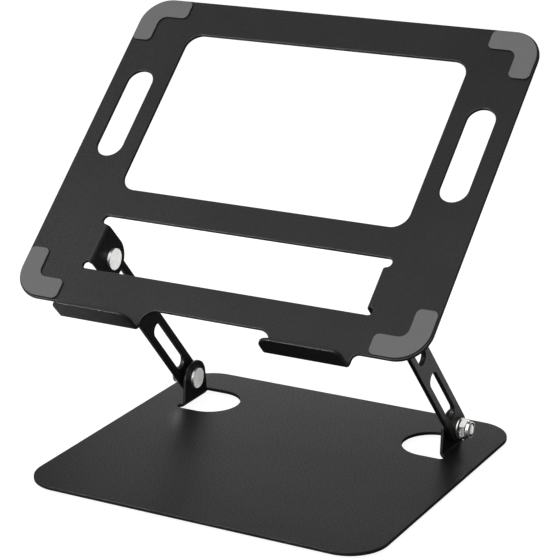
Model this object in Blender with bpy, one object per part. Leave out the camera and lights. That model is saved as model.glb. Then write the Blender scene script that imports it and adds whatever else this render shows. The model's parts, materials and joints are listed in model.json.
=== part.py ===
"""Folding laptop stand: a steel base plate, two slotted arms and a tilting steel platform.

Units are metres, +Z is up, +X runs along the hinge axes and -Y is the side the user sits at.
The origin is on the desk, under the middle of the base plate.
Each sheet-metal piece is drawn as its flat blank and then folded along its bend lines.
"""
from math import cos, hypot, pi, radians, sin

import bmesh
import bpy
from mathutils import Matrix, Vector

MM = 0.001
GAP = 0.3 * MM                  # clearance between pieces that touch

# sheet metal
SHEET = 2.0 * MM
BEND_INNER = 1.5 * MM           # inside radius of every bend
BEND_STEPS = 6
BEND_NEUTRAL = BEND_INNER + SHEET / 2
BEND_LENGTH = BEND_NEUTRAL * pi / 2
BEND_OUTER = BEND_INNER + SHEET

# feet and base plate
FOOT_RADIUS = 6.0 * MM
FOOT_HEIGHT = 1.5 * MM
FOOT_CHAMFER = 0.4 * MM
FOOT_INSET = 16.0 * MM
BASE_WIDTH = 216.0 * MM
BASE_DEPTH = 191.0 * MM
BASE_CORNER = 22.0 * MM
BASE_Z = FOOT_HEIGHT + GAP      # underside of the plate
CUTOUT_RADIUS = 17.5 * MM
CUTOUT_CENTRE_X = 73.2 * MM     # centre of the cut-out's round end
CUTOUT_CORNER = 2.2 * MM

# hinges: all four share the same stack of pieces along X
HINGE_X = 83.4 * MM             # inner face of the upright tabs and of the platform's ears
HINGE_Y = 53.0 * MM
PIVOT_ABOVE_BASE = 15.0 * MM
TAB_RADIUS = 10.2 * MM
TAB_ROOT_HALF_WIDTH = 13.0 * MM
TAB_ROOT_FILLET = 2.2 * MM
RELIEF = 0.3 * MM               # how far the cut-outs reach past the tabs' bend lines
BORE = 3.3 * MM
SHANK = 3.0 * MM
HEAD_RADIUS = 6.2 * MM
HEAD_THICKNESS = 1.6 * MM
HEAD_CHAMFER = 0.4 * MM
END_CHAMFER = 0.5 * MM
SPACER_RADIUS = 8.0 * MM
SPACER_THICKNESS = 0.7 * MM
WASHER_RADIUS = 6.0 * MM
WASHER_THICKNESS = 1.0 * MM
NUT_FLATS = 5.0 * MM            # half the width across flats
NUT_FACE_RADIUS = 5.25 * MM
NUT_HEX_LENGTH = 3.9 * MM
NUT_LENGTH = 5.8 * MM
NUT_CHAMFER = 0.35 * MM
COLLAR_RADIUS = 4.75 * MM
INSERT_RADIUS = 3.8 * MM
INSERT_LENGTH = 1.6 * MM
INSERT_SUNK = 0.2 * MM          # below the end of the collar

# arms
ARM_LENGTH = 129.0 * MM         # pivot to pivot
ARM_HALF_WIDTH = 8.6 * MM
ARM_THICKNESS = 3.0 * MM
ARM_LEAN = radians(39.9)        # from upright, towards the user
ARM_SLOT_HALF_WIDTH = 4.35 * MM
ARM_SLOT_LENGTH = 43.8 * MM
ARM_SLOT_START = 13.2 * MM      # distance from the nearer pivot

# platform, measured along its slope from the recessed front edge and square to its top face
TILT = radians(41.6)
PLATFORM_WIDTH = 250.0 * MM
PLATFORM_BACK = 200.6 * MM
PLATFORM_FRONT = -4.4 * MM
PLATFORM_CORNER = 18.0 * MM
EAR_S = 35.0 * MM               # pivot position along the slope
EAR_DROP = 16.8 * MM            # pivot depth under the top face
EAR_RADIUS = 12.2 * MM
WINDOW_HALF_WIDTH = 87.8 * MM
WINDOW_FRONT = 70.8 * MM
WINDOW_BACK = 177.9 * MM
WINDOW_CORNER = 9.3 * MM
GRIP_SLOT_X = 106.3 * MM
GRIP_SLOT_HALF_WIDTH = 8.15 * MM
GRIP_SLOT_FRONT = 90.3 * MM
GRIP_SLOT_BACK = 149.5 * MM
OPENING_FRONT = 18.3 * MM
OPENING_BACK = 52.5 * MM
OPENING_HALF_WIDTH = 88.3 * MM
NOTCH_CORNER = 2.6 * MM

# hooks that hold the laptop's front edge
HOOK_INNER_X = 38.6 * MM
HOOK_OUTER_X = 86.8 * MM
HOOK_REACH = 13.0 * MM          # front face, ahead of the recessed edge
HOOK_HEIGHT = 15.0 * MM         # above the platform's top face
HOOK_INNER_CORNER = 8.5 * MM
HOOK_OUTER_CORNER = 5.5 * MM
NECK_INNER_FILLET = 8.0 * MM
NECK_OUTER_FILLET = 3.5 * MM

# corner pads
PAD_THICKNESS = 0.7 * MM
PAD_MARGIN = 0.9 * MM
PAD_ARM_WIDTH = 12.2 * MM
PAD_ARM_LENGTH = 29.6 * MM
PAD_END_RADIUS = 3.2 * MM
PAD_INNER_RADIUS = 5.0 * MM

LOWER_PIVOT = Vector((0, HINGE_Y, BASE_Z + PIVOT_ABOVE_BASE))
UPPER_PIVOT = LOWER_PIVOT + ARM_LENGTH * Vector((0, -sin(ARM_LEAN), cos(ARM_LEAN)))

# positions of the hinge stack, as distances from the middle of the stand
SPACER_X = HINGE_X + SHEET + GAP
ARM_X = SPACER_X + SPACER_THICKNESS + GAP
WASHER_X = ARM_X + ARM_THICKNESS + GAP
NUT_X = WASHER_X + WASHER_THICKNESS + GAP
BOLT_END_X = NUT_X + NUT_LENGTH + GAP

for old in list(bpy.data.objects):
    bpy.data.objects.remove(old, do_unlink=True)


def material(name, color, roughness, metallic):
    mat = bpy.data.materials.new(name)
    mat.use_nodes = True
    shader = mat.node_tree.nodes["Principled BSDF"]
    shader.inputs["Base Color"].default_value = (*color, 1.0)
    shader.inputs["Roughness"].default_value = roughness
    shader.inputs["Metallic"].default_value = metallic
    return mat


def add_object(name, bm, mat, matrix=Matrix()):
    bmesh.ops.recalc_face_normals(bm, faces=bm.faces[:])
    if bm.calc_volume(signed=True) < 0:
        bmesh.ops.reverse_faces(bm, faces=bm.faces[:])
    mesh = bpy.data.meshes.new(name)
    bm.to_mesh(mesh)
    bm.free()
    mesh.materials.append(mat)
    mesh.shade_smooth()
    mesh.set_sharp_from_angle(angle=radians(31))
    obj = bpy.data.objects.new(name, mesh)
    obj.matrix_world = matrix
    bpy.context.collection.objects.link(obj)
    return obj


def rounded(corners, steps=6):
    """Closed outline through (x, y, radius) corners, each rounded with a tangent arc."""
    points = []
    count = len(corners)
    for i, (x, y, radius) in enumerate(corners):
        here = Vector((x, y))
        to_last = (Vector(corners[i - 1][:2]) - here).normalized()
        to_next = (Vector(corners[(i + 1) % count][:2]) - here).normalized()
        half_angle = to_last.angle(to_next) / 2
        middle = (to_last + to_next).normalized()
        centre = here + middle * (radius / sin(half_angle))
        start = here + to_last * (radius / abs(sin(half_angle) / cos(half_angle))) - centre
        sweep = pi - 2 * half_angle
        if to_last.cross(to_next) < 0:
            sweep = -sweep
        for k in range(steps + 1):
            turned = start.copy()
            turned.rotate(Matrix.Rotation(-sweep * k / steps, 2))
            points.append(centre + turned)
    return [p for i, p in enumerate(points) if (p - points[i - 1]).length > 1e-6]


def circle(x, y, radius, segments=24):
    return [Vector((x + radius * cos(2 * pi * k / segments), y + radius * sin(2 * pi * k / segments)))
            for k in range(segments)]


def mirrored(corners):
    return [(-x, y, radius) for x, y, radius in corners]


def blank(outlines, thickness, cuts=()):
    """Flat sheet in the XY plane from z = 0 to the thickness, with lines cut across it."""
    bm = bmesh.new()
    edges = []
    for outline in outlines:
        ring = [bm.verts.new((p.x, p.y, 0)) for p in outline]
        edges += [bm.edges.new((ring[i - 1], ring[i])) for i in range(len(ring))]
    bmesh.ops.triangle_fill(bm, edges=edges, use_beauty=True)
    bmesh.ops.dissolve_limit(bm, angle_limit=radians(1), verts=bm.verts[:], edges=bm.edges[:])
    for point, normal in cuts:
        everything = bm.verts[:] + bm.edges[:] + bm.faces[:]
        bmesh.ops.bisect_plane(bm, geom=everything, dist=1e-7, plane_co=point, plane_no=normal)
    top = bmesh.ops.extrude_face_region(bm, geom=bm.faces[:])["geom"]
    top_verts = [item for item in top if isinstance(item, bmesh.types.BMVert)]
    bmesh.ops.translate(bm, vec=(0, 0, thickness), verts=top_verts)
    return bm


def fold(bm, start, direction, inside, upward=True):
    """Bend the vertices that inside() picks by 90 degrees about the line through start.

    start is a point on the bend line and direction points from the plate to the tab's free end.
    """
    for vert in bm.verts:
        reach = (vert.co.xy - start).dot(direction)
        if reach <= 1e-7 or not inside(vert.co):
            continue
        height = vert.co.z if upward else SHEET - vert.co.z
        radius = BEND_OUTER - height
        angle = min(reach / BEND_NEUTRAL, pi / 2)
        straight = max(reach - BEND_LENGTH, 0)
        folded_reach = radius * sin(angle)
        folded_height = BEND_OUTER - radius * cos(angle) + straight
        vert.co.xy += direction * (folded_reach - reach)
        vert.co.z = folded_height if upward else SHEET - folded_height


def bend_cuts(start, direction):
    """Lines across a blank that let it follow the bend."""
    return [((start + direction * BEND_LENGTH * k / BEND_STEPS).to_3d(), direction.to_3d())
            for k in range(BEND_STEPS + 1)]


def drop_flat_edges(bm):
    bmesh.ops.dissolve_limit(bm, angle_limit=radians(0.5), verts=bm.verts[:], edges=bm.edges[:])


def lathe(rows, segments=24, ring=True):
    """Body turned about +X from (axial, radius, half_flats) rows; half_flats makes a row hexagonal."""
    bm = bmesh.new()
    loops = []
    for axial, radius, half_flats in rows:
        loop = []
        for k in range(segments):
            angle = 2 * pi * k / segments
            reach = radius
            if half_flats:
                from_flat = (angle + pi / 6) % (pi / 3) - pi / 6
                reach = min(radius, half_flats / cos(from_flat))
            loop.append(bm.verts.new((axial, reach * cos(angle), reach * sin(angle))))
        loops.append(loop)
    pairs = list(zip(loops, loops[1:]))
    if ring:
        pairs.append((loops[-1], loops[0]))
    else:
        bm.faces.new(loops[0])
        bm.faces.new(loops[-1])
    for first, second in pairs:
        for k in range(segments):
            bm.faces.new((first[k - 1], first[k], second[k], second[k - 1]))
    return bm


def washer_rows(inner, outer, thickness):
    return [(0, inner, None), (0, outer, None), (thickness, outer, None), (thickness, inner, None)]


BLACK = (0.012, 0.012, 0.013)
base_coat = material("base_powder_coat", BLACK, 0.45, 0.0)
platform_coat = material("platform_powder_coat", BLACK, 0.45, 0.0)
arm_coat = material("arm_powder_coat", (0.011, 0.011, 0.012), 0.45, 0.0)
pad_rubber = material("pad_rubber", (0.150, 0.150, 0.150), 0.75, 0.0)
foot_rubber = material("foot_rubber", (0.024, 0.024, 0.024), 0.85, 0.0)
bolt_steel = material("bolt_steel", (0.62, 0.61, 0.59), 0.35, 1.0)
washer_steel = material("washer_steel", (0.55, 0.54, 0.52), 0.4, 1.0)
nut_steel = material("nut_steel", (0.60, 0.59, 0.57), 0.35, 1.0)
spacer_nylon = material("spacer_nylon", (0.02, 0.02, 0.02), 0.6, 0.0)
insert_nylon = material("insert_nylon", (0.12, 0.12, 0.12), 0.6, 0.0)


# ---- base plate: two cut-outs, each leaving a tab that is folded upright -----------------------
base_bend_x = HINGE_X + BEND_OUTER
tab_bore_x = base_bend_x - BEND_LENGTH - (PIVOT_ABOVE_BASE - BEND_OUTER)


def base_cutout():
    outer_x = base_bend_x + RELIEF
    round_x = CUTOUT_CENTRE_X - CUTOUT_RADIUS
    tab_end_x = tab_bore_x - TAB_RADIUS
    front = HINGE_Y - CUTOUT_RADIUS
    back = HINGE_Y + CUTOUT_RADIUS
    root_front = HINGE_Y - TAB_ROOT_HALF_WIDTH
    root_back = HINGE_Y + TAB_ROOT_HALF_WIDTH
    return [(outer_x, front, CUTOUT_CORNER), (round_x, front, CUTOUT_RADIUS),
            (round_x, back, CUTOUT_RADIUS), (outer_x, back, CUTOUT_CORNER),
            (outer_x, root_back, TAB_ROOT_FILLET), (tab_end_x, HINGE_Y + TAB_RADIUS, TAB_RADIUS),
            (tab_end_x, HINGE_Y - TAB_RADIUS, TAB_RADIUS), (outer_x, root_front, TAB_ROOT_FILLET)]


def in_base_tab(co):
    """True for the tab's vertices and false for those on the cut-out's own edge."""
    past_centre = min(abs(co.x) - CUTOUT_CENTRE_X, 0)
    return hypot(past_centre, co.y - HINGE_Y) < CUTOUT_RADIUS - CUTOUT_CORNER


cutout = base_cutout()
half_w = BASE_WIDTH / 2
half_d = BASE_DEPTH / 2
base_corners = [(half_w, -half_d, BASE_CORNER), (half_w, half_d, BASE_CORNER),
                (-half_w, half_d, BASE_CORNER), (-half_w, -half_d, BASE_CORNER)]
base_bends = [(Vector((side * base_bend_x, 0)), Vector((-side, 0))) for side in (1, -1)]
base_outlines = [rounded(base_corners, 8), rounded(cutout, 8), rounded(mirrored(cutout), 8),
                 circle(tab_bore_x, HINGE_Y, BORE), circle(-tab_bore_x, HINGE_Y, BORE)]
base_cuts = [cut for bend in base_bends for cut in bend_cuts(*bend)]
base = blank(base_outlines, SHEET, base_cuts)
for bend_start, bend_direction in base_bends:
    side = -bend_direction.x
    fold(base, bend_start, bend_direction, lambda co, side=side: in_base_tab(co) and co.x * side > 0)
drop_flat_edges(base)
add_object("base_plate", base, base_coat, Matrix.Translation((0, 0, BASE_Z)))

for name, x_side, y_side in (("foot_front_left", -1, -1), ("foot_front_right", 1, -1),
                             ("foot_back_left", -1, 1), ("foot_back_right", 1, 1)):
    foot = lathe([(0, FOOT_RADIUS - FOOT_CHAMFER, None), (FOOT_CHAMFER, FOOT_RADIUS, None),
                  (FOOT_HEIGHT, FOOT_RADIUS, None)], segments=28, ring=False)
    place = Matrix.Translation((x_side * (half_w - FOOT_INSET), y_side * (half_d - FOOT_INSET), 0))
    add_object(name, foot, foot_rubber, place @ Matrix.Rotation(-pi / 2, 4, "Y"))


# ---- platform: outline with two hook tongues, folded up, and two ears, folded down -------------
hook_bend_s = -HOOK_REACH + BEND_OUTER
hook_tip_s = hook_bend_s - BEND_LENGTH - (HOOK_HEIGHT - BEND_INNER)
ear_bend_x = HINGE_X + BEND_OUTER
ear_pivot_x = ear_bend_x - BEND_LENGTH - (EAR_DROP - BEND_OUTER)
ear_tip_x = ear_pivot_x - EAR_RADIUS
platform_half = PLATFORM_WIDTH / 2

right_side = [(HOOK_INNER_X, 0, NECK_INNER_FILLET), (HOOK_INNER_X, hook_tip_s, HOOK_INNER_CORNER),
              (HOOK_OUTER_X, hook_tip_s, HOOK_OUTER_CORNER),
              (HOOK_OUTER_X, PLATFORM_FRONT, NECK_OUTER_FILLET),
              (platform_half, PLATFORM_FRONT, PLATFORM_CORNER),
              (platform_half, PLATFORM_BACK, PLATFORM_CORNER)]
platform_outline = right_side + mirrored(right_side)[::-1]
window = [(WINDOW_HALF_WIDTH, WINDOW_FRONT, WINDOW_CORNER), (WINDOW_HALF_WIDTH, WINDOW_BACK, WINDOW_CORNER),
          (-WINDOW_HALF_WIDTH, WINDOW_BACK, WINDOW_CORNER), (-WINDOW_HALF_WIDTH, WINDOW_FRONT, WINDOW_CORNER)]
slot_r = GRIP_SLOT_HALF_WIDTH
grip_slot = [(GRIP_SLOT_X - slot_r, GRIP_SLOT_FRONT, slot_r), (GRIP_SLOT_X + slot_r, GRIP_SLOT_FRONT, slot_r),
             (GRIP_SLOT_X + slot_r, GRIP_SLOT_BACK, slot_r), (GRIP_SLOT_X - slot_r, GRIP_SLOT_BACK, slot_r)]
right_ear = [(OPENING_HALF_WIDTH, OPENING_FRONT, NOTCH_CORNER),
             (OPENING_HALF_WIDTH, EAR_S - EAR_RADIUS, NOTCH_CORNER),
             (ear_tip_x, EAR_S - EAR_RADIUS, EAR_RADIUS), (ear_tip_x, EAR_S + EAR_RADIUS, EAR_RADIUS),
             (OPENING_HALF_WIDTH, EAR_S + EAR_RADIUS, NOTCH_CORNER),
             (OPENING_HALF_WIDTH, OPENING_BACK, NOTCH_CORNER)]
opening = right_ear + mirrored(right_ear)[::-1]
platform_outlines = [rounded(platform_outline, 8), rounded(window), rounded(grip_slot, 8),
                     rounded(mirrored(grip_slot), 8), rounded(opening),
                     circle(ear_pivot_x, EAR_S, BORE), circle(-ear_pivot_x, EAR_S, BORE)]
ear_bends = [(Vector((side * ear_bend_x, 0)), Vector((-side, 0))) for side in (1, -1)]
hook_bend = (Vector((0, hook_bend_s)), Vector((0, -1)))
platform_cuts = [cut for bend in ear_bends + [hook_bend] for cut in bend_cuts(*bend)]


def in_ear(co):
    return abs(co.y - EAR_S) < EAR_RADIUS + NOTCH_CORNER and abs(co.x) > ear_tip_x - GAP


platform = blank(platform_outlines, SHEET, platform_cuts)
for bend_start, bend_direction in ear_bends:
    side = -bend_direction.x
    fold(platform, bend_start, bend_direction, upward=False,
         inside=lambda co, side=side: in_ear(co) and co.x * side > 0)
fold(platform, *hook_bend, inside=lambda co: True)
drop_flat_edges(platform)
to_pivot = Matrix.Translation((0, -EAR_S, EAR_DROP - SHEET))
platform.transform(to_pivot)
platform_place = Matrix.Translation(UPPER_PIVOT) @ Matrix.Rotation(TILT, 4, "X")
add_object("platform", platform, platform_coat, platform_place)


# ---- corner pads: boomerangs that follow the platform's corners --------------------------------
def pad_corners(x_side, back):
    """Outline in the platform's plane; the outer arc runs parallel to the plate's corner."""
    outer_x = platform_half - PAD_MARGIN
    outer_r = PLATFORM_CORNER - PAD_MARGIN
    edge = PLATFORM_BACK if back else PLATFORM_FRONT
    into = -1 if back else 1
    outer_s = edge + into * PAD_MARGIN
    side_end = outer_s + into * PAD_ARM_LENGTH
    inner_x = outer_x - PAD_ARM_WIDTH
    inner_s = outer_s + into * PAD_ARM_WIDTH
    front_end = outer_x - PAD_ARM_LENGTH
    corners = [(outer_x, outer_s, outer_r), (outer_x, side_end, PAD_END_RADIUS),
               (inner_x, side_end, PAD_END_RADIUS), (inner_x, inner_s, PAD_INNER_RADIUS),
               (front_end, inner_s, PAD_END_RADIUS), (front_end, outer_s, PAD_END_RADIUS)]
    return [(x_side * x, s, r) for x, s, r in corners]


for name, x_side, back in (("pad_front_left", -1, False), ("pad_front_right", 1, False),
                           ("pad_back_left", -1, True), ("pad_back_right", 1, True)):
    pad = blank([rounded(pad_corners(x_side, back), 5)], PAD_THICKNESS)
    pad.transform(to_pivot @ Matrix.Translation((0, 0, SHEET + GAP)))
    add_object(name, pad, pad_rubber, platform_place)


# ---- arms: flat bars with two slots, turning outside the tabs and ears -------------------------
def arm_slot(start):
    half = ARM_SLOT_HALF_WIDTH
    end = start + ARM_SLOT_LENGTH
    return [(-half, start, half), (half, start, half), (half, end, half), (-half, end, half)]


arm_corners = [(ARM_HALF_WIDTH, -ARM_HALF_WIDTH, ARM_HALF_WIDTH),
               (ARM_HALF_WIDTH, ARM_LENGTH + ARM_HALF_WIDTH, ARM_HALF_WIDTH),
               (-ARM_HALF_WIDTH, ARM_LENGTH + ARM_HALF_WIDTH, ARM_HALF_WIDTH),
               (-ARM_HALF_WIDTH, -ARM_HALF_WIDTH, ARM_HALF_WIDTH)]
second_slot = ARM_LENGTH - ARM_SLOT_START - ARM_SLOT_LENGTH
arm_outlines = [rounded(arm_corners, 8), rounded(arm_slot(ARM_SLOT_START)), rounded(arm_slot(second_slot)),
                circle(0, 0, BORE), circle(0, ARM_LENGTH, BORE)]
# blank X -> world Y, blank Y -> world Z, blank Z -> world X, then leaned about the lower pivot
stand_up = Matrix(((0, 0, 1, 0), (1, 0, 0, 0), (0, 1, 0, 0), (0, 0, 0, 1)))
for name, near_face in (("left_arm", -ARM_X - ARM_THICKNESS), ("right_arm", ARM_X)):
    arm = blank(arm_outlines, ARM_THICKNESS)
    arm.transform(stand_up)
    place = Matrix.Translation(LOWER_PIVOT + Vector((near_face, 0, 0))) @ Matrix.Rotation(ARM_LEAN, 4, "X")
    add_object(name, arm, arm_coat, place)


# ---- hinge hardware: the same stack at each of the four pivots ---------------------------------
bolt_length = BOLT_END_X - HINGE_X + GAP
bolt_rows = [(-HEAD_THICKNESS, HEAD_RADIUS - HEAD_CHAMFER, None),
             (-HEAD_THICKNESS + HEAD_CHAMFER, HEAD_RADIUS, None),
             (0, HEAD_RADIUS, None), (0, SHANK, None),
             (bolt_length - END_CHAMFER, SHANK, None), (bolt_length, SHANK - END_CHAMFER, None)]
nut_corner = 2 * NUT_FLATS
recess = INSERT_RADIUS + GAP
recess_floor = NUT_LENGTH - INSERT_LENGTH - GAP
nut_rows = [(0, BORE, None), (0, NUT_FACE_RADIUS, NUT_FLATS), (NUT_CHAMFER, nut_corner, NUT_FLATS),
            (NUT_HEX_LENGTH - NUT_CHAMFER, nut_corner, NUT_FLATS),
            (NUT_HEX_LENGTH, NUT_FACE_RADIUS, NUT_FLATS),
            (NUT_HEX_LENGTH, COLLAR_RADIUS, None), (NUT_LENGTH - NUT_CHAMFER, COLLAR_RADIUS, None),
            (NUT_LENGTH, COLLAR_RADIUS - NUT_CHAMFER, None), (NUT_LENGTH, recess, None),
            (recess_floor, recess, None), (recess_floor, BORE, None)]
spacer_rows = washer_rows(BORE, SPACER_RADIUS, SPACER_THICKNESS)
flat_rows = washer_rows(BORE, WASHER_RADIUS, WASHER_THICKNESS)
insert_rows = washer_rows(BORE, INSERT_RADIUS, INSERT_LENGTH - INSERT_SUNK)
stack = (("bolt", HINGE_X - GAP, bolt_rows, bolt_steel, False),
         ("friction_washer", SPACER_X, spacer_rows, spacer_nylon, True),
         ("flat_washer", WASHER_X, flat_rows, washer_steel, True),
         ("lock_nut", NUT_X, nut_rows, nut_steel, True),
         ("nut_insert", NUT_X + NUT_LENGTH - INSERT_LENGTH, insert_rows, insert_nylon, True))
for level, pivot in (("lower", LOWER_PIVOT), ("upper", UPPER_PIVOT)):
    for side_name, side in (("left", -1), ("right", 1)):
        outward = Matrix.Identity(4) if side > 0 else Matrix.Rotation(pi, 4, "Z")
        for piece, along, rows, mat, ring in stack:
            place = Matrix.Translation(pivot + Vector((side * along, 0, 0))) @ outward
            add_object(f"{level}_{side_name}_{piece}", lathe(rows, ring=ring), mat, place)
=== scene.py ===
"""Looks for the folding laptop stand.

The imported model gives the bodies, joints and boxes. Every CAD node gets a finer mesh here, with rounded
edges, and a procedural material: textured black powder coat, grey rubber, zinc-plated steel and nylon.
Units are metres, +Z is up, +X runs along the hinge axes and -Y is the side the user sits at.
"""
import json
from math import acos, atan2, ceil, cos, hypot, pi, radians, sin

import bmesh
import bpy
from mathutils import Matrix, Vector

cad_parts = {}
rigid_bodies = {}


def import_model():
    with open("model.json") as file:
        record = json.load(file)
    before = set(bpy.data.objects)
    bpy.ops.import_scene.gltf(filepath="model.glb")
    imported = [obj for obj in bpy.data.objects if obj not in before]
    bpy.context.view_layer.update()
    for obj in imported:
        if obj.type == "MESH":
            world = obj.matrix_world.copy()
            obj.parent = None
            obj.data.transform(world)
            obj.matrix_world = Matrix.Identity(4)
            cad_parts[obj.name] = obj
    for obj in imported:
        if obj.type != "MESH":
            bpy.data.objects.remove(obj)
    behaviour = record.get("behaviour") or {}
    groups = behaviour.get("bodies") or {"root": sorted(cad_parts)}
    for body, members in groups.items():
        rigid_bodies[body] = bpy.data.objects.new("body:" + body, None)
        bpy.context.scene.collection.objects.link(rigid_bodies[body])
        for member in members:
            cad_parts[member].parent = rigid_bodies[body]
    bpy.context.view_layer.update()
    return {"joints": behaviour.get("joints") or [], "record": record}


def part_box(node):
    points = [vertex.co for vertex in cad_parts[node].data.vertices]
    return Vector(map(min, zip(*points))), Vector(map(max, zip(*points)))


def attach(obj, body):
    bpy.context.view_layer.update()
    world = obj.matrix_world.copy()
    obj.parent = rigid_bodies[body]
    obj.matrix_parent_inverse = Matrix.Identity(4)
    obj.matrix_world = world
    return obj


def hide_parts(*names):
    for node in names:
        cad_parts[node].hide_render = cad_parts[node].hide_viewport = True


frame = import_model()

MM = 0.001

# ---- places read from the frame ----------------------------------------------------------------
joints = {joint["name"]: joint for joint in frame["joints"]}
mounts = {mount["name"]: mount for mount in frame["record"]["mounts"]}
LOWER_PIVOT = Vector((0, *joints["left_arm_fold"]["pos_m"][1:]))
UPPER_PIVOT = Vector((0, *joints["platform_tilt"]["pos_m"][1:]))
ARM_LENGTH = (UPPER_PIVOT - LOWER_PIVOT).length
ARM_LEAN = atan2(LOWER_PIVOT.y - UPPER_PIVOT.y, UPPER_PIVOT.z - LOWER_PIVOT.z)
TILT = acos(mounts["pad_front_left_top"]["axis"][2])

base_low, base_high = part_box("base_plate")
platform_low, platform_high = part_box("platform")
arm_low, arm_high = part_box("right_arm")
foot_low, foot_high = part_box("foot_front_right")
bolt_low, bolt_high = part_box("lower_right_bolt")
spacer_low, spacer_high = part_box("lower_right_friction_washer")
washer_low, washer_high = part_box("lower_right_flat_washer")
nut_low, nut_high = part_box("lower_right_lock_nut")
insert_low, insert_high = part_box("lower_right_nut_insert")

# ---- sheet metal -------------------------------------------------------------------------------
SHEET = 2.0 * MM
BEND_INNER = 1.5 * MM
BEND_STEPS = 14
BEND_OUTER = BEND_INNER + SHEET
BEND_NEUTRAL = BEND_INNER + SHEET / 2
BEND_LENGTH = BEND_NEUTRAL * pi / 2
ARC_CHORD = 0.55 * MM           # longest facet on a round outline
ARC_STEPS = 4                   # fewest facets on it
BORE_STEPS = 48
TURN_STEPS = 96                 # facets round a turned piece
SAME_POINT = 1e-6
ON_LINE = 1e-7
MITRE = 0.5                     # least cosine that an inset corner is stretched by
EDGE_ROUND = 0.6 * MM           # rounding of the coated sheets' edges
BASE_EDGE_ROUND = 0.35 * MM
EDGE_STEPS = 4
SHARP_ANGLE = radians(35)       # between faces that aren't shaded as one surface
GAP = 0.3 * MM                  # clearance between pieces that touch
HAIR = 0.02 * MM                # kept off a fit that would be exact
FULL_ROUND = 0.999              # of half a width, so that the arcs of a round end never cross

# ---- base plate and hinge line -----------------------------------------------------------------
HEAD_THICKNESS = 1.6 * MM
HINGE_X = bolt_low.x + HEAD_THICKNESS + GAP       # inner face of the tabs and ears
BEND_X = HINGE_X + BEND_OUTER                     # where the tabs and ears leave their plates
PIVOT_ABOVE_BASE = LOWER_PIVOT.z - base_low.z
BASE_WIDTH = base_high.x - base_low.x
BASE_DEPTH = base_high.y - base_low.y
BASE_CORNER = 22.0 * MM
TAB_RADIUS = base_high.z - LOWER_PIVOT.z - HAIR
TAB_ROOT_HALF_WIDTH = 13.0 * MM
TAB_ROOT_FILLET = 2.2 * MM
RELIEF = 0.3 * MM               # how far the cut-outs reach past the tabs' bend lines
CUTOUT_RADIUS = 17.5 * MM
CUTOUT_CENTRE_X = 73.2 * MM     # centre of the cut-out's round end
CUTOUT_CORNER = 2.2 * MM
BORE = 3.3 * MM

# ---- platform, measured along its slope from the recessed front edge ---------------------------
PLATFORM_HALF = platform_high.x
PLATFORM_BACK = 200.6 * MM
PLATFORM_FRONT = -4.4 * MM
PLATFORM_CORNER = 18.0 * MM
EAR_S = 35.0 * MM               # pivot position along the slope
EAR_DROP = 16.8 * MM            # pivot depth under the top face
EAR_RADIUS = 12.2 * MM
WINDOW_HALF_WIDTH = 87.8 * MM
WINDOW_FRONT = 70.8 * MM
WINDOW_BACK = 177.9 * MM
WINDOW_CORNER = 9.3 * MM
GRIP_SLOT_X = 106.3 * MM
GRIP_SLOT_HALF_WIDTH = 8.15 * MM
GRIP_SLOT_FRONT = 90.3 * MM
GRIP_SLOT_BACK = 149.5 * MM
OPENING_FRONT = 18.3 * MM
OPENING_BACK = 52.5 * MM
OPENING_HALF_WIDTH = 88.3 * MM
NOTCH_CORNER = 2.6 * MM
HOOK_INNER_X = 38.6 * MM
HOOK_OUTER_X = 86.8 * MM
HOOK_REACH = 13.0 * MM          # front face, ahead of the recessed edge
HOOK_HEIGHT = 15.0 * MM         # above the platform's top face
HOOK_INNER_CORNER = 8.5 * MM
HOOK_OUTER_CORNER = 5.5 * MM
NECK_INNER_FILLET = 8.0 * MM
NECK_OUTER_FILLET = 3.5 * MM

# ---- corner pads and arms ----------------------------------------------------------------------
PAD_THICKNESS = 0.7 * MM
PAD_EDGE_ROUND = 0.28 * MM
PAD_MARGIN = 0.9 * MM
PAD_ARM_WIDTH = 12.2 * MM
PAD_ARM_LENGTH = 29.6 * MM
PAD_END_RADIUS = 3.2 * MM
PAD_INNER_RADIUS = 5.0 * MM

ARM_THICKNESS = arm_high.x - arm_low.x
ARM_HALF_WIDTH = 8.6 * MM
ARM_SLOT_HALF_WIDTH = 4.35 * MM
ARM_SLOT_LENGTH = 43.8 * MM
ARM_SLOT_START = 13.2 * MM      # distance from the nearer pivot

# ---- turned pieces -----------------------------------------------------------------------------
CENTRE = 0.05 * MM              # radius left open on the axis of a closed end
SHANK = 3.0 * MM
HEAD_ROUND = 0.3 * MM           # rounding of the head's outer edge
HEAD_FLAT_MARGIN = 0.48 * MM    # from the head's rim to the edge of its flat face
HEAD_UNDER_CHAMFER = 0.15 * MM
THREAD_PITCH = 1.0 * MM
THREAD_DEPTH = 0.35 * MM
THREAD_CRESTS = 4
THREAD_RUN = 4.5 * THREAD_PITCH                   # from the first crest to the bolt's end
CREST_WIDTH = 0.12 * THREAD_PITCH
ROOT_START = 0.50 * THREAD_PITCH
ROOT_END = 0.62 * THREAD_PITCH
BOLT_CHAMFER_LENGTH = 0.45 * MM
BOLT_CHAMFER_DEPTH = 0.5 * MM
BOLT_LIP_LENGTH = 0.05 * MM
BOLT_LIP_DEPTH = 0.6 * MM
SPACER_ROUND = 0.15 * MM
WASHER_ROUND = 0.2 * MM
INSERT_ROUND = 0.25 * MM
NUT_HEX_LENGTH = 3.9 * MM
NUT_FACE = 0.97                 # radius of the nut's round face, of half its width across flats
NUT_CONE_SLOPE = 0.55           # chamfer of the nut's corners: axial over radial
NUT_CONE_STEPS = 5
COLLAR_RADIUS = 4.75 * MM
COLLAR_ROUND = 0.45 * MM
COLLAR_STEPS = 6
NUT_BREAK = 0.1 * MM            # small breaks at the collar's foot and at the recess
FOOT_ROUND = 0.4 * MM

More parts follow.
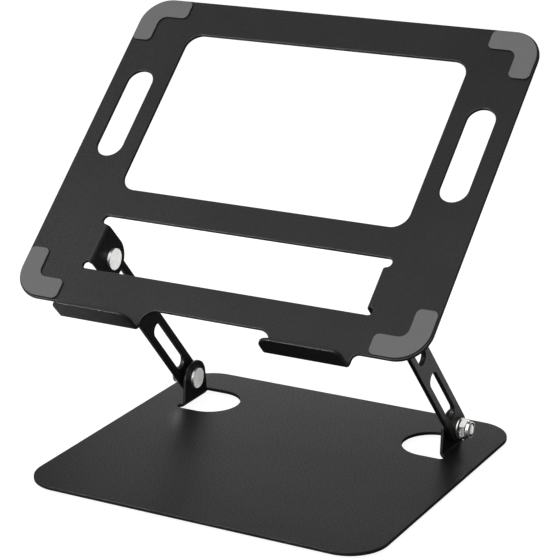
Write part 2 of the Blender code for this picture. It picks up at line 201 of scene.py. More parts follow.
# ---- materials ---------------------------------------------------------------------------------
MATT_GLOSS = 0.35               # specular level of the coat and the rubber
RING_PITCH = 0.25 * MM          # between turning marks
WAVES_PER_UNIT = 20             # rings that the wave texture draws in one unit at scale 1

# ---- light -------------------------------------------------------------------------------------
WORLD_LIGHT = 0.32
WALL_RIGHT = 0.45               # light from the right, of the world's light
WALL_RIGHT_RANGE = (0.0, 0.6)   # the direction's X over which it falls to that
WALL_BEHIND = 0.5               # light from behind, of the world's light
WALL_BEHIND_RANGE = (0.2, 0.8)  # the direction's Y over which it falls to that
FLOOR_HALF = 12.0
# the floor's colour as the stand sees it: painted shade under and right of the stand, a painted pool of
# light on the left
FLOOR_BOUNCE_PAINTED_SHADE = 0.18             # under and to the right of the stand
FLOOR_BOUNCE_PAINTED_LIGHT = 0.8
BOUNCE_EDGE_X = (-0.20, -0.08)  # between the floor on the left and the floor under the stand
BOUNCE_EDGE_Y = (-0.13, -0.08)  # between the floor in front and the floor beside the stand
FLOOR_SHADOW = 0.22
FLOOR_GLOW = 0.93
FLOOR_ROUGHNESS = 0.9
FLOOR_GLOSS = 0.1
STAND = (0, 0, 0.1)
# name, place, aim, width, height, power
SOFTBOXES = [("front_softbox", (0.3, -1.5, 2.0), STAND, 1.4, 1.4, 34),
             ("left_softbox", (-1.7, -0.9, 1.5), STAND, 1.4, 1.4, 11),
             ("back_card", (-0.22, 0.46, 0.13), (0, 0, 0), 0.4, 0.16, 0.17)]
# seen in reflections only
GLINT_CARD = ("glint_card", (-0.75, -1.33, 0.62), STAND, 0.5, 0.3, 17)
# endings of the names of the pieces that have a glow of their own
NUTS = ("_flat_washer_turned", "_lock_nut_turned", "_right_bolt_turned")
HEADS = ("_left_bolt_turned",)
RIGHT_NUTS = ("_right_flat_washer_turned", "_right_lock_nut_turned")
EVERY_PIECE = ("",)
BEHIND_RIGHT = (0.467, 0.825, -0.318)             # what faces along the hinges mirror to the camera
# name, direction it comes from, strength, spread, endings of the lit pieces and of the blocking ones
GLOWS = [("head_glow", BEHIND_RIGHT, 3.8, radians(50), HEADS, EVERY_PIECE),
         ("head_key", (-0.45, -0.6, 0.5), 1.2, radians(80), HEADS, HEADS),
         ("nut_glow", BEHIND_RIGHT, 4.8, radians(50), NUTS, EVERY_PIECE),
         ("nut_key", (-0.45, -0.5, 0.74), 2.4, radians(75), RIGHT_NUTS, RIGHT_NUTS),
         ("right_arm_glow", (0.28, 0.8, -0.53), 1.9, radians(35), ("right_arm_bar",), EVERY_PIECE)]

# ---- camera ------------------------------------------------------------------------------------
CAMERA_AZIMUTH = radians(29.49)
CAMERA_ELEVATION = radians(18.54)
CAMERA_ROLL = radians(-1.02)
CAMERA_DISTANCE = 1150.34 * MM
CAMERA_LENS = 135.53
SENSOR_WIDTH = 36.0
CAMERA_AIM = Vector((5.67 * MM, 0, base_low.z + 105.89 * MM))


# ---- outlines and meshes -----------------------------------------------------------------------
def rounded(corners):
    """Closed outline through (x, y, radius) corners, each rounded with a tangent arc."""
    points = []
    count = len(corners)
    for i, (x, y, radius) in enumerate(corners):
        here = Vector((x, y))
        to_last = (Vector(corners[i - 1][:2]) - here).normalized()
        to_next = (Vector(corners[(i + 1) % count][:2]) - here).normalized()
        half_angle = to_last.angle(to_next) / 2
        centre = here + (to_last + to_next).normalized() * (radius / sin(half_angle))
        start = here + to_last * (radius * cos(half_angle) / sin(half_angle)) - centre
        sweep = pi - 2 * half_angle
        steps = max(ARC_STEPS, ceil(sweep * radius / ARC_CHORD))
        if to_last.cross(to_next) < 0:
            sweep = -sweep
        for k in range(steps + 1):
            turned = start.copy()
            turned.rotate(Matrix.Rotation(-sweep * k / steps, 2))
            points.append(centre + turned)
    return [p for i, p in enumerate(points) if (p - points[i - 1]).length > SAME_POINT]


def circle(x, y, radius):
    angles = [2 * pi * k / BORE_STEPS for k in range(BORE_STEPS)]
    return [Vector((x + radius * cos(angle), y + radius * sin(angle))) for angle in angles]


def mirrored(corners):
    return [(-x, y, radius) for x, y, radius in corners]


def signed_area(outline):
    return sum(outline[i - 1].cross(p) for i, p in enumerate(outline)) / 2


def inset(outline, distance):
    """The outline moved to its left by a distance."""
    moved = []
    count = len(outline)
    for i, here in enumerate(outline):
        before = (here - outline[i - 1]).normalized()
        after = (outline[(i + 1) % count] - here).normalized()
        left = Vector((-before.y - after.y, before.x + after.x)).normalized()
        moved.append(here + left * (distance / max(MITRE, left.dot(Vector((-before.y, before.x))))))
    return moved


def edge_profile(thickness, edge_round):
    """(inset, height) from the bottom face's edge, round the rim, to the top face's edge."""
    angles = [pi / 2 * k / EDGE_STEPS for k in range(EDGE_STEPS + 1)]
    lower = [(edge_round * (1 - sin(a)), edge_round * (1 - cos(a))) for a in angles]
    upper = [(reach, thickness - height) for reach, height in reversed(lower)]
    return lower + upper


def blank(outlines, thickness, edge_round=EDGE_ROUND, cuts=()):
    """Flat sheet on the XY plane with a rounded rim; the first outline is the outer one."""
    bm = bmesh.new()
    on_edge = bm.faces.layers.float.new("edge")
    profile = edge_profile(thickness, edge_round)
    first_rings = []
    last_rings = []
    for i, outline in enumerate(outlines):
        if (signed_area(outline) > 0) != (i == 0):
            outline = outline[::-1]
        rings = []
        for reach, height in profile:
            rings.append([bm.verts.new((p.x, p.y, height)) for p in inset(outline, reach)])
        for level, (low, high) in enumerate(zip(rings, rings[1:])):
            for k in range(len(low)):
                face = bm.faces.new((low[k - 1], low[k], high[k], high[k - 1]))
                face[on_edge] = 0.0 if level == EDGE_STEPS else 1.0
        first_rings.append(rings[0])
        last_rings.append(rings[-1])
    for cap in (first_rings, last_rings):
        edges = [bm.edges.get((ring[k - 1], ring[k])) for ring in cap for k in range(len(ring))]
        bmesh.ops.triangle_fill(bm, edges=edges, use_beauty=True)
    for point, normal in cuts:
        everything = bm.verts[:] + bm.edges[:] + bm.faces[:]
        bmesh.ops.bisect_plane(bm, geom=everything, dist=ON_LINE, plane_co=point, plane_no=normal)
    return bm


def fold(bm, start, direction, inside, upward=True):
    """Bend what inside() picks by 90 degrees about the line through start, towards direction."""
    for vert in bm.verts:
        reach = (vert.co.xy - start).dot(direction)
        if reach <= ON_LINE or not inside(vert.co):
            continue
        height = vert.co.z if upward else SHEET - vert.co.z
        angle = min(reach / BEND_NEUTRAL, pi / 2)
        straight = max(reach - BEND_LENGTH, 0)
        radius = BEND_OUTER - height
        folded_height = BEND_OUTER - radius * cos(angle) + straight
        vert.co.xy += direction * (radius * sin(angle) - reach)
        vert.co.z = folded_height if upward else SHEET - folded_height


def side_bends():
    """Bend lines of the right and the left tab or ear, and the way that each is folded from."""
    return [(Vector((side * BEND_X, 0)), Vector((-side, 0))) for side in (1, -1)]


def bend_cuts(start, direction):
    """Lines across a blank that let it follow the bend."""
    return [((start + direction * BEND_LENGTH * k / BEND_STEPS).to_3d(), direction.to_3d())
            for k in range(BEND_STEPS + 1)]


def lathe(rows):
    """Ring turned about +X from (axial, radius, half_flats) rows; half_flats makes a row hexagonal."""
    bm = bmesh.new()
    loops = []
    for axial, radius, half_flats in rows:
        loop = []
        for k in range(TURN_STEPS):
            angle = 2 * pi * k / TURN_STEPS
            reach = radius
            if half_flats:
                from_flat = (angle + pi / 6) % (pi / 3) - pi / 6
                reach = min(radius, half_flats / cos(from_flat))
            loop.append(bm.verts.new((axial, reach * cos(angle), reach * sin(angle))))
        loops.append(loop)
    for first, second in zip(loops, loops[1:] + loops[:1]):
        for k in range(TURN_STEPS):
            bm.faces.new((first[k - 1], first[k], second[k], second[k - 1]))
    return bm


def arc_rows(axial, radius, size, start, end, steps=ARC_STEPS):
    """Rows along a quarter round of a turned profile: angles from +X, centre at (axial, radius)."""
    angles = [start + (end - start) * k / steps for k in range(steps + 1)]
    return [(axial + size * cos(a), radius + size * sin(a), None) for a in angles]


def add_piece(name, bm, mat, body, replaced, matrix=Matrix()):
    """A piece that rides on a body and stands for the replaced CAD node."""
    bmesh.ops.recalc_face_normals(bm, faces=bm.faces[:])
    if bm.calc_volume(signed=True) < 0:
        bmesh.ops.reverse_faces(bm, faces=bm.faces[:])
    mesh = bpy.data.meshes.new(name)
    bm.to_mesh(mesh)
    bm.free()
    mesh.materials.append(mat)
    mesh.shade_smooth()
    mesh.set_sharp_from_angle(angle=SHARP_ANGLE)
    obj = bpy.data.objects.new(name, mesh)
    obj.matrix_world = matrix
    bpy.context.collection.objects.link(obj)
    flat_faces = obj.modifiers.new("flat_faces", "WEIGHTED_NORMAL")
    flat_faces.keep_sharp = True
    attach(obj, body)
    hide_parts(replaced)


# ---- materials ---------------------------------------------------------------------------------
class Nodes:
    """A material's or the world's node tree, with short names for what the looks here need."""

    def __init__(self, owner):
        owner.use_nodes = True
        self.owner = owner
        self.tree = owner.node_tree
        self.shader = self.tree.nodes.get("Principled BSDF")
        self.places = self.add("ShaderNodeTexCoord").outputs

    def add(self, kind, **settings):
        node = self.tree.nodes.new(kind)
        for key, value in settings.items():
            setattr(node, key, value)
        return node

    def link(self, source, target):
        self.tree.links.new(source, target)

    def noise(self, size, detail=2.0, roughness=0.5):
        """Noise from 0 to 1 whose blobs are about size metres across."""
        node = self.add("ShaderNodeTexNoise")
        node.inputs["Scale"].default_value = 1 / size
        node.inputs["Detail"].default_value = detail
        node.inputs["Roughness"].default_value = roughness
        self.link(self.places["Object"], node.inputs["Vector"])
        return node.outputs["Fac"]

    def ranged(self, source, low, high, to_low=0.0, to_high=1.0):
        """The source's range from low to high, carried over to another range and held there."""
        node = self.add("ShaderNodeMapRange")
        for key, value in zip(("From Min", "From Max", "To Min", "To Max"), (low, high, to_low, to_high)):
            node.inputs[key].default_value = value
        self.link(source, node.inputs["Value"])
        return node.outputs["Result"]

    def weighted(self, first, share, second):
        """Mean of two values, in which the first one has the given share."""
        first_part = self.math("MULTIPLY", first, share)
        second_part = self.math("MULTIPLY", second, 1 - share)
        return self.math("ADD", first_part, second_part)

    def mixed(self, factor, first, second):
        """Colour mix; first and second are RGB tuples or sockets."""
        node = self.add("ShaderNodeMix", data_type="RGBA")
        self.link(factor, node.inputs["Factor"])
        for key, value in (("A", first), ("B", second)):
            socket = next(s for s in node.inputs if s.name == key and s.type == "RGBA")
            if isinstance(value, tuple):
                socket.default_value = (*value, 1.0)
            else:
                self.link(value, socket)
        return next(s for s in node.outputs if s.type == "RGBA")

    def math(self, operation, first, second):
        node = self.add("ShaderNodeMath", operation=operation)
        for socket, value in zip(node.inputs, (first, second)):
            if isinstance(value, (int, float)):
                socket.default_value = value
            else:
                self.link(value, socket)
        return node.outputs[0]

    def bump(self, height, depth, strength, below=None):
        """Normal of a surface with a height of some depth in metres, on top of the one below."""
        node = self.add("ShaderNodeBump")
        node.inputs["Strength"].default_value = strength
        node.inputs["Distance"].default_value = depth
        self.link(height, node.inputs["Height"])
        if below:
            self.link(below, node.inputs["Normal"])
        return node.outputs["Normal"]

    def attribute(self, name):
        return self.add("ShaderNodeAttribute", attribute_name=name).outputs["Fac"]


def powder_coat(name, dark, light, edge, roughness=0.42):
    """Fine-textured black powder coat: leathery grain, faint clouding, a little glossier on edges, and a
    painted edge colour: a painted highlight where it is paler, painted shade where it is darker.
    """
    n = Nodes(bpy.data.materials.new(name))
    grain = n.noise(size=1.0 * MM, detail=3.0, roughness=0.65)
    pores = n.noise(size=2.6 * MM, detail=1.0)
    cloud = n.noise(size=50 * MM, detail=2.0)
    colour = n.mixed(n.ranged(n.weighted(grain, 0.8, cloud), 0.38, 0.62), dark, light)
    on_edge = n.attribute("edge")
    # edge colour painted on the rounded rims: a painted highlight on the platform and arms, painted shade on
    # the base plate
    painted_edge_light_and_shade = n.math("MULTIPLY", on_edge, 0.6)
    n.link(n.mixed(painted_edge_light_and_shade, colour, edge), n.shader.inputs["Base Color"])
    rough = n.ranged(grain, 0.35, 0.65, roughness + 0.1, roughness - 0.1)
    polish = n.math("MULTIPLY", on_edge, 0.06)
    n.link(n.math("SUBTRACT", rough, polish), n.shader.inputs["Roughness"])
    coarse = n.bump(pores, depth=0.02 * MM, strength=0.5)
    n.link(n.bump(grain, depth=0.09 * MM, strength=1.0, below=coarse), n.shader.inputs["Normal"])
    n.shader.inputs["Specular IOR Level"].default_value = MATT_GLOSS
    return n.owner


def rubber(name, dark, light, roughness=0.75):
    """Matt silicone rubber with a very fine moulded grain and a little dust in it."""
    n = Nodes(bpy.data.materials.new(name))
    grain = n.noise(size=0.35 * MM, detail=2.0)
    cloud = n.noise(size=9 * MM, detail=3.0)
    tone = n.ranged(n.weighted(grain, 0.5, cloud), 0.35, 0.65)
    n.link(n.mixed(tone, dark, light), n.shader.inputs["Base Color"])
    n.link(n.ranged(cloud, 0.3, 0.7, roughness - 0.06, roughness + 0.08), n.shader.inputs["Roughness"])
    n.link(n.bump(grain, depth=0.015 * MM, strength=0.6), n.shader.inputs["Normal"])
    n.shader.inputs["Specular IOR Level"].default_value = MATT_GLOSS
    return n.owner


def zinc_plate(name, dark, light, roughness=0.3):
    """Zinc-plated steel, with faint rings from turning about the bolt's axis and a cloudy finish."""
    n = Nodes(bpy.data.materials.new(name))
    cloud = n.noise(size=2.2 * MM, detail=3.0)
    fine = n.noise(size=0.3 * MM, detail=2.0)
    rings = n.add("ShaderNodeTexWave", wave_type="RINGS", rings_direction="X")
    rings.inputs["Scale"].default_value = 1 / RING_PITCH / WAVES_PER_UNIT
    rings.inputs["Distortion"].default_value = 0.4
    n.link(n.places["Object"], rings.inputs["Vector"])
    n.link(n.mixed(n.ranged(cloud, 0.3, 0.7), dark, light), n.shader.inputs["Base Color"])
    n.link(n.ranged(cloud, 0.3, 0.7, roughness - 0.04, roughness + 0.06), n.shader.inputs["Roughness"])
    turned = n.bump(rings.outputs["Fac"], depth=0.002 * MM, strength=0.4)
    n.link(n.bump(fine, depth=0.003 * MM, strength=0.4, below=turned), n.shader.inputs["Normal"])
    n.shader.inputs["Metallic"].default_value = 1.0
    return n.owner


def nylon(name, dark, light, roughness=0.5):
    """Moulded nylon with a fine mottle."""
    n = Nodes(bpy.data.materials.new(name))
    fine = n.noise(size=0.5 * MM, detail=2.0)
    n.link(n.mixed(n.ranged(fine, 0.3, 0.7), dark, light), n.shader.inputs["Base Color"])
    n.link(n.ranged(fine, 0.3, 0.7, roughness - 0.06, roughness + 0.06), n.shader.inputs["Roughness"])
    n.link(n.bump(fine, depth=0.01 * MM, strength=0.4), n.shader.inputs["Normal"])
    return n.owner


def grey(value):
    return (value, value, value)


# the third colour is painted on each coat's rounded edges: painted shade on the base plate, a painted
# highlight on the platform and arms
BASE_COAT = powder_coat("base_powder_coat", grey(0.005), grey(0.021), grey(0.010))
PLATFORM_COAT = powder_coat("platform_powder_coat", grey(0.004), grey(0.019), grey(0.022))
ARM_COAT = powder_coat("arm_powder_coat", grey(0.004), grey(0.015), grey(0.020))
PAD_RUBBER = rubber("pad_rubber", grey(0.140), grey(0.160))
FOOT_RUBBER = rubber("foot_rubber", grey(0.018), grey(0.030), roughness=0.8)
BOLT_STEEL = zinc_plate("bolt_steel", (0.66, 0.65, 0.64), (0.74, 0.73, 0.72), roughness=0.38)
WASHER_STEEL = zinc_plate("washer_steel", (0.52, 0.51, 0.50), (0.66, 0.65, 0.63), roughness=0.36)
NUT_STEEL = zinc_plate("nut_steel", (0.56, 0.55, 0.53), (0.70, 0.69, 0.67))
SPACER_NYLON = nylon("spacer_nylon", grey(0.010), grey(0.018))
INSERT_NYLON = nylon("insert_nylon", grey(0.06), grey(0.10))


# ---- base plate --------------------------------------------------------------------------------
tab_bore_x = BEND_X - BEND_LENGTH - (PIVOT_ABOVE_BASE - BEND_OUTER)


def base_cutout():
    outer_x = BEND_X + RELIEF
    round_x = CUTOUT_CENTRE_X - CUTOUT_RADIUS
    tab_end_x = tab_bore_x - TAB_RADIUS
    front = LOWER_PIVOT.y - CUTOUT_RADIUS
    back = LOWER_PIVOT.y + CUTOUT_RADIUS
    root_front = LOWER_PIVOT.y - TAB_ROOT_HALF_WIDTH
    root_back = LOWER_PIVOT.y + TAB_ROOT_HALF_WIDTH
    return [(outer_x, front, CUTOUT_CORNER), (round_x, front, CUTOUT_RADIUS),
            (round_x, back, CUTOUT_RADIUS), (outer_x, back, CUTOUT_CORNER),
            (outer_x, root_back, TAB_ROOT_FILLET), (tab_end_x, LOWER_PIVOT.y + TAB_RADIUS, TAB_RADIUS),
            (tab_end_x, LOWER_PIVOT.y - TAB_RADIUS, TAB_RADIUS), (outer_x, root_front, TAB_ROOT_FILLET)]


def in_base_tab(co):
    """True for the tab's vertices and false for those on the cut-out's own edge."""
    past_centre = min(abs(co.x) - CUTOUT_CENTRE_X, 0)
    return hypot(past_centre, co.y - LOWER_PIVOT.y) < CUTOUT_RADIUS - CUTOUT_CORNER


def make_base_plate():
    half_w = BASE_WIDTH / 2
    half_d = BASE_DEPTH / 2
    corners = [(half_w, -half_d, BASE_CORNER), (half_w, half_d, BASE_CORNER),
               (-half_w, half_d, BASE_CORNER), (-half_w, -half_d, BASE_CORNER)]
    cutout = base_cutout()
    outlines = [rounded(corners), rounded(cutout), rounded(mirrored(cutout)),
                circle(tab_bore_x, LOWER_PIVOT.y, BORE), circle(-tab_bore_x, LOWER_PIVOT.y, BORE)]
    bends = side_bends()
    cuts = [cut for bend in bends for cut in bend_cuts(*bend)]
    bm = blank(outlines, SHEET, BASE_EDGE_ROUND, cuts)
    for start, direction in bends:
        fold(bm, start, direction, lambda co: in_base_tab(co) and co.x * direction.x < 0)
    add_piece("base_plate_sheet", bm, BASE_COAT, "base", "base_plate",
              Matrix.Translation((0, 0, base_low.z)))


# ---- platform and its pads ---------------------------------------------------------------------
ear_pivot_x = BEND_X - BEND_LENGTH - (EAR_DROP - BEND_OUTER)
ear_tip_x = ear_pivot_x - EAR_RADIUS
hook_bend_s = -HOOK_REACH + BEND_OUTER
hook_tip_s = hook_bend_s - BEND_LENGTH - (HOOK_HEIGHT - BEND_INNER)
# from the flat blank, s along +Y and the underside on z = 0, to the upper pivot, and into place
TO_PIVOT = Matrix.Translation((0, -EAR_S, EAR_DROP - SHEET))
PLATFORM_PLACE = Matrix.Translation(UPPER_PIVOT) @ Matrix.Rotation(TILT, 4, "X") @ TO_PIVOT


def in_ear(co):
    in_width = abs(co.y - EAR_S) < EAR_RADIUS + NOTCH_CORNER + EDGE_ROUND
    return in_width and abs(co.x) > ear_tip_x - EDGE_ROUND


def make_platform():
    right_side = [(HOOK_INNER_X, 0, NECK_INNER_FILLET), (HOOK_INNER_X, hook_tip_s, HOOK_INNER_CORNER),
                  (HOOK_OUTER_X, hook_tip_s, HOOK_OUTER_CORNER),
                  (HOOK_OUTER_X, PLATFORM_FRONT, NECK_OUTER_FILLET),
                  (PLATFORM_HALF, PLATFORM_FRONT, PLATFORM_CORNER),
                  (PLATFORM_HALF, PLATFORM_BACK, PLATFORM_CORNER)]
    window = [(WINDOW_HALF_WIDTH, WINDOW_FRONT, WINDOW_CORNER),
              (WINDOW_HALF_WIDTH, WINDOW_BACK, WINDOW_CORNER),
              (-WINDOW_HALF_WIDTH, WINDOW_BACK, WINDOW_CORNER),
              (-WINDOW_HALF_WIDTH, WINDOW_FRONT, WINDOW_CORNER)]
    slot_in = GRIP_SLOT_X - GRIP_SLOT_HALF_WIDTH
    slot_out = GRIP_SLOT_X + GRIP_SLOT_HALF_WIDTH
    end = GRIP_SLOT_HALF_WIDTH * FULL_ROUND
    grip_slot = [(slot_in, GRIP_SLOT_FRONT, end), (slot_out, GRIP_SLOT_FRONT, end),
                 (slot_out, GRIP_SLOT_BACK, end), (slot_in, GRIP_SLOT_BACK, end)]
    right_ear = [(OPENING_HALF_WIDTH, OPENING_FRONT, NOTCH_CORNER),
                 (OPENING_HALF_WIDTH, EAR_S - EAR_RADIUS, NOTCH_CORNER),
                 (ear_tip_x, EAR_S - EAR_RADIUS, EAR_RADIUS), (ear_tip_x, EAR_S + EAR_RADIUS, EAR_RADIUS),
                 (OPENING_HALF_WIDTH, EAR_S + EAR_RADIUS, NOTCH_CORNER),
                 (OPENING_HALF_WIDTH, OPENING_BACK, NOTCH_CORNER)]
    outlines = [rounded(right_side + mirrored(right_side)[::-1]), rounded(window),
                rounded(grip_slot), rounded(mirrored(grip_slot)),
                rounded(right_ear + mirrored(right_ear)[::-1]),
                circle(ear_pivot_x, EAR_S, BORE), circle(-ear_pivot_x, EAR_S, BORE)]
    ear_bends = side_bends()
    hook_bend = (Vector((0, hook_bend_s)), Vector((0, -1)))
    cuts = [cut for bend in ear_bends + [hook_bend] for cut in bend_cuts(*bend)]
    bm = blank(outlines, SHEET, EDGE_ROUND, cuts)
    for start, direction in ear_bends:
        fold(bm, start, direction, lambda co: in_ear(co) and co.x * direction.x < 0, upward=False)
    fold(bm, *hook_bend, lambda co: True)
    bm.transform(PLATFORM_PLACE)
    add_piece("platform_sheet", bm, PLATFORM_COAT, "platform", "platform")


def make_pads():
    outer_x = PLATFORM_HALF - PAD_MARGIN
    outer_r = PLATFORM_CORNER - PAD_MARGIN
    inner_x = outer_x - PAD_ARM_WIDTH
    end_x = outer_x - PAD_ARM_LENGTH
    end = PAD_END_RADIUS
    for name, x_side, edge, into in (("front_left", -1, PLATFORM_FRONT, 1),
                                     ("front_right", 1, PLATFORM_FRONT, 1),
                                     ("back_left", -1, PLATFORM_BACK, -1),
                                     ("back_right", 1, PLATFORM_BACK, -1)):
        outer_s = edge + into * PAD_MARGIN
        side_end = outer_s + into * PAD_ARM_LENGTH
        inner_s = outer_s + into * PAD_ARM_WIDTH
        corners = [(outer_x, outer_s, outer_r), (outer_x, side_end, end),
                   (inner_x, side_end, end), (inner_x, inner_s, PAD_INNER_RADIUS),
                   (end_x, inner_s, end), (end_x, outer_s, end)]
        outline = rounded([(x_side * x, s, r) for x, s, r in corners])
        bm = blank([outline], PAD_THICKNESS, PAD_EDGE_ROUND)
        bm.transform(PLATFORM_PLACE @ Matrix.Translation((0, 0, SHEET + GAP)))
        add_piece(f"pad_{name}_rubber", bm, PAD_RUBBER, "platform", f"pad_{name}")


# ---- arms --------------------------------------------------------------------------------------
def arm_slot(start):
    half = ARM_SLOT_HALF_WIDTH
    radius = half * FULL_ROUND
    end = start + ARM_SLOT_LENGTH
    return rounded([(-half, start, radius), (half, start, radius),
                    (half, end, radius), (-half, end, radius)])


def make_arms():
    half = ARM_HALF_WIDTH
    radius = half * FULL_ROUND
    top = ARM_LENGTH + half
    corners = [(half, -half, radius), (half, top, radius), (-half, top, radius), (-half, -half, radius)]
    second_slot = ARM_LENGTH - ARM_SLOT_START - ARM_SLOT_LENGTH
    outlines = [rounded(corners), arm_slot(ARM_SLOT_START), arm_slot(second_slot),
                circle(0, 0, BORE), circle(0, ARM_LENGTH, BORE)]
    # blank X -> world Y, blank Y -> world Z, blank Z -> world X, then leaned about the lower pivot
    stand_up = Matrix(((0, 0, 1, 0), (1, 0, 0, 0), (0, 1, 0, 0), (0, 0, 0, 1)))
    lean = Matrix.Rotation(ARM_LEAN, 4, "X")
    for name, near_face in (("left_arm", -arm_high.x), ("right_arm", arm_low.x)):
        bm = blank(outlines, ARM_THICKNESS)
        bm.transform(Matrix.Translation(LOWER_PIVOT + Vector((near_face, 0, 0))) @ lean @ stand_up)
        add_piece(f"{name}_bar", bm, ARM_COAT, name, name)


# ---- hinge hardware ----------------------------------------------------------------------------
def bolt_rows():
    """Disc head on the inner side, plain shank, and a few thread crests where the end shows."""
    head = (bolt_high.y - bolt_low.y) / 2
    under = HINGE_X - GAP
    top = bolt_low.x
    end = bolt_high.x
    rows = [(top, CENTRE, None), (top, head - HEAD_FLAT_MARGIN, None)]
    rows += arc_rows(top + HEAD_ROUND, head - HEAD_ROUND, HEAD_ROUND, pi, pi / 2)
    rows += [(under - HEAD_UNDER_CHAMFER, head, None), (under, head - HEAD_UNDER_CHAMFER, None),
             (under, SHANK, None)]
    root = SHANK - THREAD_DEPTH
    for k in range(THREAD_CRESTS):
        crest = end - THREAD_RUN + k * THREAD_PITCH
        rows += [(crest, SHANK, None), (crest + CREST_WIDTH, SHANK, None),
                 (crest + ROOT_START, root, None), (crest + ROOT_END, root, None)]
    rows += [(end - BOLT_CHAMFER_LENGTH, SHANK, None),
             (end - BOLT_LIP_LENGTH, SHANK - BOLT_CHAMFER_DEPTH, None),
             (end, SHANK - BOLT_LIP_DEPTH, None), (end, CENTRE, None)]
    return rows


def washer_rows(low, high, edge):
    """Ring between a node's two faces, with its outer edges rounded."""
    outer = (high.y - low.y) / 2
    rows = [(low.x, BORE, None)]
    rows += arc_rows(low.x + edge, outer - edge, edge, pi, pi / 2)
    rows += arc_rows(high.x - edge, outer - edge, edge, pi / 2, 0)
    rows += [(high.x, BORE, None)]
    return rows


def nut_rows():
    """Hexagon with chamfered corners, a rounded collar, and the recess that holds the insert."""
    flats = (nut_high.y - nut_low.y) / 2
    corner = flats / cos(pi / 6)
    start = nut_low.x
    top = start + NUT_HEX_LENGTH
    end = nut_high.x
    face = flats * NUT_FACE
    cone = [face + (corner - face) * k / NUT_CONE_STEPS for k in range(NUT_CONE_STEPS + 1)]
    rows = [(start, BORE, None)]
    rows += [(start + (r - face) * NUT_CONE_SLOPE, r, flats) for r in cone]
    rows += [(top - (r - face) * NUT_CONE_SLOPE, r, flats) for r in reversed(cone)]
    rows += [(top, COLLAR_RADIUS + NUT_BREAK, None), (top + NUT_BREAK, COLLAR_RADIUS, None)]
    rows += arc_rows(end - COLLAR_ROUND, COLLAR_RADIUS - COLLAR_ROUND, COLLAR_ROUND, pi / 2, 0, COLLAR_STEPS)
    recess = (insert_high.y - insert_low.y) / 2 + GAP
    recess_floor = insert_low.x - GAP
    rows += [(end, recess + NUT_BREAK, None), (end - NUT_BREAK, recess, None)]
    rows += [(recess_floor, recess, None), (recess_floor, BORE, None)]
    return rows


def make_hinges():
    spacer = washer_rows(spacer_low, spacer_high, SPACER_ROUND)
    washer = washer_rows(washer_low, washer_high, WASHER_ROUND)
    insert = washer_rows(insert_low, insert_high, INSERT_ROUND)
    stack = (("bolt", bolt_rows(), BOLT_STEEL, "bolt_steel"),
             ("friction_washer", spacer, SPACER_NYLON, "spacer_nylon"),
             ("flat_washer", washer, WASHER_STEEL, "washer_steel"),
             ("lock_nut", nut_rows(), NUT_STEEL, "nut_steel"),
             ("nut_insert", insert, INSERT_NYLON, "insert_nylon"))
    for level, pivot, body in (("lower", LOWER_PIVOT, "base"), ("upper", UPPER_PIVOT, "upper_hinge")):
        for side, turn in (("left", pi), ("right", 0.0)):
            place = Matrix.Translation(pivot) @ Matrix.Rotation(turn, 4, "Z")
            for piece, rows, mat, slot in stack:
                node = f"{level}_{side}_{piece}"
                add_piece(f"{node}_turned", lathe(rows), mat, body, node, place)


# ---- feet --------------------------------------------------------------------------------------
def make_feet():
    radius = (foot_high.x - foot_low.x) / 2
    height = foot_high.z - foot_low.z
    for node in ("foot_front_left", "foot_front_right", "foot_back_left", "foot_back_right"):
        low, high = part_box(node)
        rows = [(0, CENTRE, None)]
        rows += arc_rows(FOOT_ROUND, radius - FOOT_ROUND, FOOT_ROUND, pi, pi / 2)
        rows += [(height, radius, None), (height, CENTRE, None)]
        place = Matrix.Translation(((low.x + high.x) / 2, (low.y + high.y) / 2, low.z))
        add_piece(f"{node}_rubber", lathe(rows), FOOT_RUBBER, "base", node,
                  place @ Matrix.Rotation(-pi / 2, 4, "Y"))


# ---- stage, lights and camera ------------------------------------------------------------------
def make_floor():
    """White sweep: it looks almost shadeless, and sends more light up on the left than under the stand,
    through painted light on the left and painted shade under the stand.
    """
    mesh = bpy.data.meshes.new("floor")
    half = FLOOR_HALF
    corners = [(-half, -half, 0), (half, -half, 0), (half, half, 0), (-half, half, 0)]
    mesh.from_pydata(corners, [], [(0, 1, 2, 3)])
    floor = bpy.data.objects.new("floor", mesh)
    bpy.context.collection.objects.link(floor)
    n = Nodes(bpy.data.materials.new("floor_white"))
    place = n.add("ShaderNodeSeparateXYZ")
    n.link(n.places["Object"], place.inputs[0])
    # painted light on the floor's left, painted shade under and in front of the stand, seen only by the
    # stand
    left = n.ranged(place.outputs["X"], *BOUNCE_EDGE_X, 1.0, 0.0)
    behind_front = n.ranged(place.outputs["Y"], *BOUNCE_EDGE_Y, 0.0, 1.0)
    painted_bounce = n.mixed(n.math("MULTIPLY", left, behind_front), grey(FLOOR_BOUNCE_PAINTED_SHADE), grey(FLOOR_BOUNCE_PAINTED_LIGHT))
    n.link(painted_bounce, n.shader.inputs["Base Color"])
    seen = n.add("ShaderNodeBsdfPrincipled")
    seen.inputs["Base Color"].default_value = (*grey(FLOOR_SHADOW), 1)
    for shader in (n.shader, seen):
        shader.inputs["Roughness"].default_value = FLOOR_ROUGHNESS
        shader.inputs["Specular IOR Level"].default_value = FLOOR_GLOSS
    seen.inputs["Emission Color"].default_value = (1, 1, 1, 1)
    seen.inputs["Emission Strength"].default_value = FLOOR_GLOW
    mix = n.add("ShaderNodeMixShader")
    n.link(n.add("ShaderNodeLightPath").outputs["Is Camera Ray"], mix.inputs[0])
    n.link(n.shader.outputs[0], mix.inputs[1])
    n.link(seen.outputs[0], mix.inputs[2])
    n.link(mix.outputs[0], n.tree.nodes["Material Output"].inputs["Surface"])
    mesh.materials.append(n.owner)


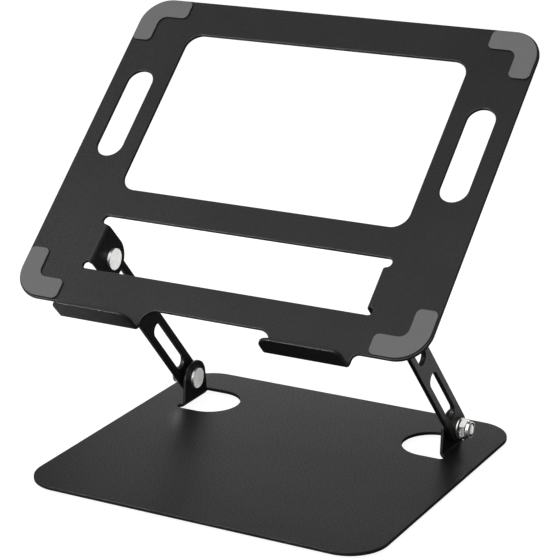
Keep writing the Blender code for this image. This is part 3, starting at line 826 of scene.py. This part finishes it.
def add_softbox(name, place, aim, width, height, power, diffuse=True):
    data = bpy.data.lights.new(name, "AREA")
    data.shape = "RECTANGLE"
    data.size = width
    data.size_y = height
    data.energy = power
    light = bpy.data.objects.new(name, data)
    light.location = place
    light.rotation_euler = (Vector(aim) - Vector(place)).to_track_quat("-Z", "Y").to_euler()
    light.visible_camera = False
    light.visible_diffuse = diffuse
    bpy.context.collection.objects.link(light)


def add_glow(name, towards, strength, spread, lit_endings, blocking_endings):
    """What one bright part of the studio adds to the pieces whose names have the lit endings."""
    data = bpy.data.lights.new(name, "SUN")
    data.energy = strength
    data.angle = spread
    light = bpy.data.objects.new(name, data)
    light.rotation_euler = Vector(towards).to_track_quat("Z", "Y").to_euler()
    bpy.context.collection.objects.link(light)
    lit = bpy.data.collections.new(f"{name}_lit")
    blocking = bpy.data.collections.new(f"{name}_blocking")
    for obj in bpy.context.scene.objects:
        if obj.name.endswith(lit_endings):
            lit.objects.link(obj)
        if obj.type == "MESH" and obj.name != "floor" and obj.name.endswith(blocking_endings):
            blocking.objects.link(obj)
    light.light_linking.receiver_collection = lit
    light.light_linking.blocker_collection = blocking


def make_studio_walls():
    """Soft light from all round, weaker from the right and from behind."""
    world = bpy.data.worlds.new("studio")
    n = Nodes(world)
    background = n.tree.nodes["Background"]
    background.inputs["Color"].default_value = (1, 1, 1, 1)
    towards = n.add("ShaderNodeSeparateXYZ")
    n.link(n.places["Generated"], towards.inputs[0])
    right = n.ranged(towards.outputs["X"], *WALL_RIGHT_RANGE, 1.0, WALL_RIGHT)
    behind = n.ranged(towards.outputs["Y"], *WALL_BEHIND_RANGE, WORLD_LIGHT, WORLD_LIGHT * WALL_BEHIND)
    n.link(n.math("MULTIPLY", right, behind), background.inputs["Strength"])
    bpy.context.scene.world = world


def make_lights():
    make_studio_walls()
    for softbox in SOFTBOXES:
        add_softbox(*softbox)
    add_softbox(*GLINT_CARD, diffuse=False)
    for glow in GLOWS:
        add_glow(*glow)


def make_camera():
    level = cos(CAMERA_ELEVATION)
    towards = Vector((sin(CAMERA_AZIMUTH) * level, -cos(CAMERA_AZIMUTH) * level, sin(CAMERA_ELEVATION)))
    data = bpy.data.cameras.new("camera")
    data.sensor_width = SENSOR_WIDTH
    data.lens = CAMERA_LENS
    camera = bpy.data.objects.new("camera", data)
    place = Matrix.Translation(CAMERA_AIM + towards * CAMERA_DISTANCE)
    turn = towards.to_track_quat("Z", "Y").to_matrix().to_4x4()
    camera.matrix_world = place @ turn @ Matrix.Rotation(CAMERA_ROLL, 4, "Z")
    bpy.context.collection.objects.link(camera)
    bpy.context.scene.camera = camera


make_base_plate()
make_platform()
make_pads()
make_arms()
make_hinges()
make_feet()
make_floor()
make_lights()
make_camera()
bpy.context.scene.view_settings.view_transform = "Standard"
